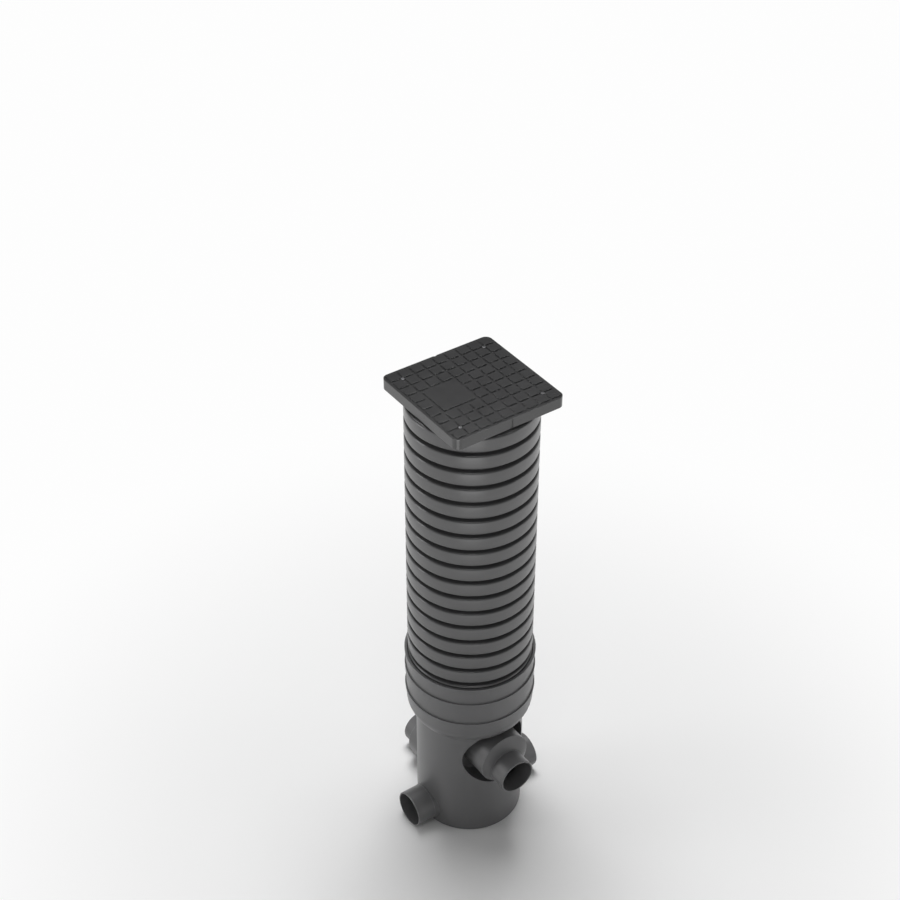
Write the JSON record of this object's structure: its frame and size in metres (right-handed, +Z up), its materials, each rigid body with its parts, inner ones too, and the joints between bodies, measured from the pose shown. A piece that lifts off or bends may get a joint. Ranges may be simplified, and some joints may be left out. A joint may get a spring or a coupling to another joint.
{
  "type": "sampling chamber",
  "caption": "Buried sampling chamber: moulded base with four pipe stubs, one of them high in a round pocket, corrugated riser pipe and square tiled cover.",
  "frame": {"origin": "middle of the base's flat underside, on the upright axis of the chamber", "axes": "+Z up along the riser; -X the way the low outlet points; the low inlets point along +X and +Y and the high one along -Y"},
  "size_m": [0.44, 0.516, 1.5316],
  "materials": {
    "base_plastic": "satin moulded",
    "pipe_plastic": "satin extruded",
    "cover_plastic": "fine moulded grain",
    "seal_rubber": "matt",
    "screw_steel": "bright turned"
  },
  "bodies": {
    "base": {"chamber_base": "base_plastic"},
    "riser": {"riser_pipe": "pipe_plastic", "riser_seal": "seal_rubber"},
    "cover": {"cover_plate": "cover_plastic", "cover_collar": "cover_plastic", "cover_screw_1": "screw_steel", "cover_screw_2": "screw_steel", "cover_screw_3": "screw_steel", "cover_screw_4": "screw_steel"}
  },
  "joints": [
    {"name": "riser_pull", "type": "slide", "parent": "base", "child": "riser", "axis": [0, 0, 1], "range_m": [0, 0.5593]},
    {"name": "cover_lift", "type": "slide", "parent": "riser", "child": "cover", "axis": [0, 0, 1], "range_m": [0, 0.2374]}
  ]
}
